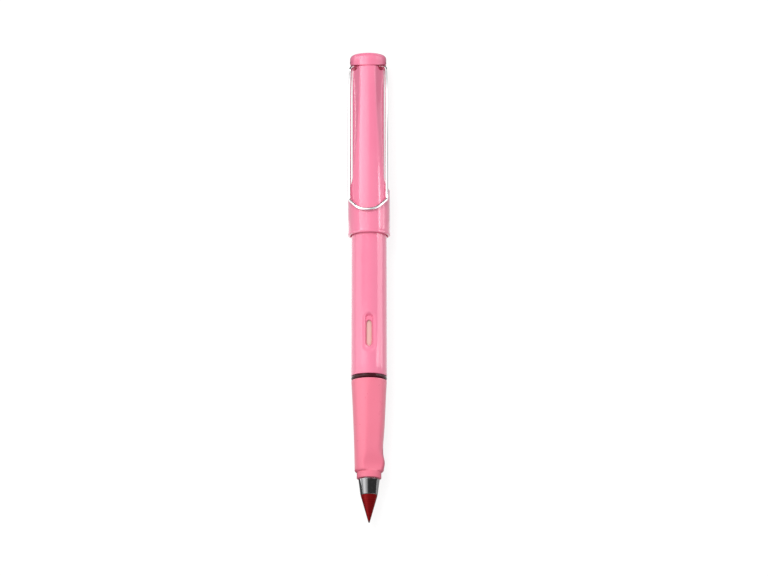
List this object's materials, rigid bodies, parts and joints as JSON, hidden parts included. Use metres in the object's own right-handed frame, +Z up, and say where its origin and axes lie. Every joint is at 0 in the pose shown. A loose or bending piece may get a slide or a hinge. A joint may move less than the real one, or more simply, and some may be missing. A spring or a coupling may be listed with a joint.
{
  "type": "inkless pencil",
  "caption": "Inkless pencil with a conical alloy nib, a moulded grip with finger flats, a windowed barrel, and a clip cap posted on the tail; cap, clip, grip and nib move.",
  "frame": {"origin": "centre of the bounding box's footprint, on the surface that the cap's mouth rests on", "axes": "+Y along the pen from the nib to the crown, +Z up through the clip and the front window, +X to the right of the pictured view"},
  "size_m": [0.0148, 0.1658, 0.016],
  "materials": {
    "body_plastic": "glossy pink moulded plastic",
    "grip_plastic": "satin pink moulded plastic",
    "ring_plastic": "glossy, nearly black",
    "sleeve_plastic": "matt cream",
    "liner_plastic": "natural white",
    "clip_wire": "polished chrome on spring steel",
    "ferrule_chrome": "polished chrome",
    "nib_alloy": "dark red satin alloy"
  },
  "bodies": {
    "barrel": {"barrel": "body_plastic"},
    "ring": {"joint_ring": "ring_plastic"},
    "grip": {"grip_section": "grip_plastic", "inner_sleeve": "sleeve_plastic"},
    "nib": {"nib_ferrule": "ferrule_chrome", "nib_tip": "nib_alloy"},
    "cap": {"cap_shell": "body_plastic", "cap_liner": "liner_plastic", "cap_crown": "body_plastic"},
    "clip": {"cap_clip": "clip_wire"}
  },
  "joints": [
    {"name": "cap_pull", "type": "slide", "parent": "barrel", "child": "cap", "axis": [0, 1, 0], "range_m": [0, 0.03]},
    {"name": "clip_flex", "type": "hinge", "parent": "cap", "child": "clip", "pos_m": [0, 0.0776, 0.01015], "axis": [-1, 0, 0], "range_deg": [0, 5], "stiffness_Nm_per_rad": 0.6},
    {"name": "ring_slide", "type": "slide", "parent": "barrel", "child": "ring", "axis": [0, -1, 0], "range_m": [0, 0.008]},
    {"name": "grip_unscrew", "type": "hinge", "parent": "ring", "child": "grip", "pos_m": [0, -0.03, 0.00735], "axis": [0, -1, 0], "range_deg": [0, 1800]},
    {"name": "nib_pull", "type": "slide", "parent": "grip", "child": "nib", "axis": [0, -1, 0], "range_m": [0, 0.012]}
  ],
  "couplings": [
    {"joint": "ring_slide", "follows": "grip_unscrew", "m_per_rad": 0.00025465}
  ]
}
